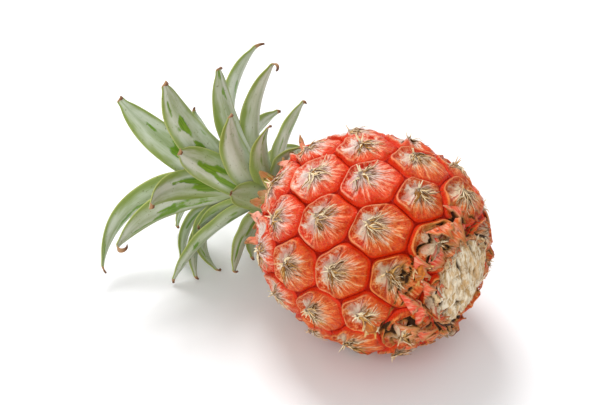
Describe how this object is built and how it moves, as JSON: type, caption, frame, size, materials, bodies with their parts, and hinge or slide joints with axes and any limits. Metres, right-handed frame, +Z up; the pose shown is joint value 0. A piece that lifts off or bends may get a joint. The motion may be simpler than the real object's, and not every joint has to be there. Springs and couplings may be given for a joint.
{
  "type": "pineapple",
  "caption": "Small red-skinned pineapple lying on its side, with raised eyes, dry bract tips, a leafy crown and a broken woody stalk end.",
  "frame": {"origin": "middle of the small flat on which the fruit rests, on its lowest eye", "axes": "+X along the fruit towards the stalk end, -X towards the crown, +Z up from the surface it lies on"},
  "size_m": [0.1953, 0.132, 0.1309],
  "materials": {
    "rind": "waxy red-orange skin with a pale bloom",
    "leaf": "grey-green leaf with a silvery bloom",
    "neck_bract": "soft pink to tan bract",
    "dry_bract": "dry orange bract with frayed edges",
    "woody_stalk": "pale torn woody fibre"
  },
  "bodies": {
    "root": {"fruit": "rind", "crown": "leaf", "neck_bracts": "neck_bract", "base_bracts": "dry_bract", "stalk": "woody_stalk"}
  },
  "joints": []
}
